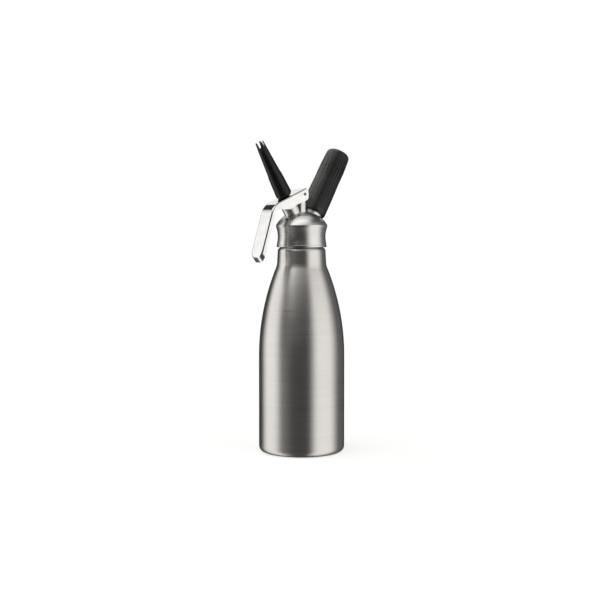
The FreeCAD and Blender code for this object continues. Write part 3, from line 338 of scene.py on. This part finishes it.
floor = disc("studio_floor", 3.0)
floor.location.z = -0.0002
fm = bpy.data.materials.new("studio_floor_white")
fm.use_nodes = True
t = Tree(fm.node_tree)
out = t.new("ShaderNodeOutputMaterial")
diff = t.new("ShaderNodeBsdfDiffuse")
diff.inputs["Color"].default_value = (0.55, 0.55, 0.545, 1.0)
glow = t.new("ShaderNodeEmission")
glow.inputs["Color"].default_value = (1.0, 1.0, 0.998, 1.0)
glow.inputs["Strength"].default_value = 0.66
add = t.new("ShaderNodeAddShader")
t.t.links.new(diff.outputs[0], add.inputs[0])
t.t.links.new(glow.outputs[0], add.inputs[1])
clear = t.new("ShaderNodeBsdfTransparent")
side = t.new("ShaderNodeMixShader")
t.t.links.new(t.new("ShaderNodeNewGeometry").outputs["Backfacing"], side.inputs[0])
t.t.links.new(add.outputs[0], side.inputs[1])
t.t.links.new(clear.outputs[0], side.inputs[2])
t.t.links.new(side.outputs[0], out.inputs["Surface"])
floor.data.materials.append(fm)
floor.visible_glossy = False
floor.visible_diffuse = False
floor.visible_shadow = False

# ------------------------------------------------------------------ studio light
# A white sweep for the camera; the metal sees softboxes left, right and above,
# dark cards in front and behind. Angles are in degrees: around from the
# photograph's viewpoint (positive to its right), and up from level.
world = bpy.data.worlds.new("studio")
scene.world = world
world.use_nodes = True
t = Tree(world.node_tree)
out = t.new("ShaderNodeOutputWorld")
way = t.new("ShaderNodeTexCoord").outputs["Generated"]
u = t.vmath("DOT_PRODUCT", way, tuple(RIGHT))
v = t.vmath("DOT_PRODUCT", way, tuple(BACK))
w = t.vmath("DOT_PRODUCT", way, (0.0, 0.0, 1.0))
az = t.math("MULTIPLY", t.math("ARCTAN2", u, v), 180.0 / math.pi)
el = t.math("MULTIPLY", t.math("ARCSINE", w), 180.0 / math.pi)
turned = t.math("ABSOLUTE", az)
up = t.math("MAXIMUM", w, 0.02)
cu = t.math("DIVIDE", u, up)
cv = t.math("DIVIDE", v, up)
above = t.step(w, 0.02, 0.1)


def panel(x, xs, y, ys, power, tint=(1.0, 1.0, 1.0), extra=None):
    """A soft-edged lit rectangle: xs, ys = outer low, inner low, inner high, outer high."""
    m = t.math("MULTIPLY", t.step(x, xs[0], xs[1]), t.step(x, xs[2], xs[3], 1.0, 0.0))
    n = t.math("MULTIPLY", t.step(y, ys[0], ys[1]), t.step(y, ys[2], ys[3], 1.0, 0.0))
    k = t.math("MULTIPLY", t.math("MULTIPLY", m, n), power)
    if extra is not None:
        k = t.math("MULTIPLY", k, extra)
    return t.vmath("SCALE", tuple(tint), scale=k)


low_front = t.step(el, 1.0, 7.0, 1.0, 0.0)
slant = t.math("ADD", t.math("ADD", cv, t.math("MULTIPLY", cu, 0.6)), 0.4)
front_edge = t.math("MULTIPLY", above, t.step(cv, -0.03, 0.2))

PANELS = [
    # left softbox, its spill towards the camera, and the part of it above the gap
    panel(az, (-137, -105, -80, -52), el, (-80, -58, 27, 29), 1.17, (1.0, 0.99, 0.975)),
    panel(az, (-134, -124, -107, -98), el, (4, 10, 26, 28), 0.3),
    panel(az, (-121, -119.5, -94, -76), el, (26.5, 29, 36, 48), 1.05),
    panel(az, (-76, -64, -50, -24), el, (-80, -55, 24, 34), 0.16, (1.0, 0.98, 0.95), low_front),
    panel(az, (-162, -152, -94, -76), el, (36, 37.5, 46, 54), 1.05),
    # right softbox
    panel(az, (18, 46, 80, 120), el, (-80, -58, 24, 60), 1.17, (1.0, 0.985, 0.965)),
    panel(az, (98, 116, 140, 156), el, (-80, -60, 26, 42), 0.1),
    # overhead softbox, forward and to the left, with its long fall-off to the front
    panel(cu, (-1.3, -0.85, 0.1, 0.6), slant, (-9.0, -8.0, 0.6, 1.3), 1.1, (1.0, 1.0, 0.98), front_edge),
    panel(cu, (-1.5, -1.05, 0.5, 1.15), slant, (-9.0, -8.0, 1.0, 2.9), 0.42, (1.0, 1.0, 0.98), front_edge),
    # its rear part
    panel(cu, (-0.5, -0.2, 0.3, 0.6), cv, (-0.62, -0.36, 0.0, 0.3), 0.88, (1.0, 1.0, 1.0), above),
    # white card behind and above
    panel(turned, (150, 153, 190, 191), el, (20, 23, 38, 41), 0.99),
    # table: a low glow all round
    panel(el, (-95, -92, -30, -8), el, (-95, -92, -30, -8), 0.035),
]
total = t.vmath("ADD", (0.042, 0.0415, 0.04), PANELS[0])
for p in PANELS[1:]:
    total = t.vmath("ADD", total, p)
studio = t.new("ShaderNodeBackground")
t.put(studio.inputs["Color"], total)
sweep = t.new("ShaderNodeBackground")
sweep.inputs["Color"].default_value = (1.0, 1.0, 1.0, 1.0)
sweep.inputs["Strength"].default_value = 1.02
mix = t.new("ShaderNodeMixShader")
t.t.links.new(t.new("ShaderNodeLightPath").outputs["Is Camera Ray"], mix.inputs[0])
t.t.links.new(studio.outputs[0], mix.inputs[1])
t.t.links.new(sweep.outputs[0], mix.inputs[2])
t.t.links.new(mix.outputs[0], out.inputs["Surface"])

scene.view_settings.view_transform = "Standard"
scene.view_settings.look = "None"
scene.view_settings.exposure = 0.0
scene.view_settings.gamma = 1.0

# ------------------------------------------------------------------ camera
cam = bpy.data.objects.new("camera", bpy.data.cameras.new("camera"))
scene.collection.objects.link(cam)
cam.data.sensor_width = 36.0
cam.data.lens = 71.311
cam.data.shift_y = -0.04
pitch, yaw = 0.041875, math.radians(35.0 - 0.07843)
cam.location = BACK * 1.332 + Vector((0.0, 0.0, 0.2528))
look = Vector((math.sin(yaw) * math.cos(pitch), math.cos(yaw) * math.cos(pitch), -math.sin(pitch)))
cam.rotation_euler = look.to_track_quat("-Z", "Y").to_euler()
cam.data.clip_start, cam.data.clip_end = 0.05, 50.0
scene.camera = cam
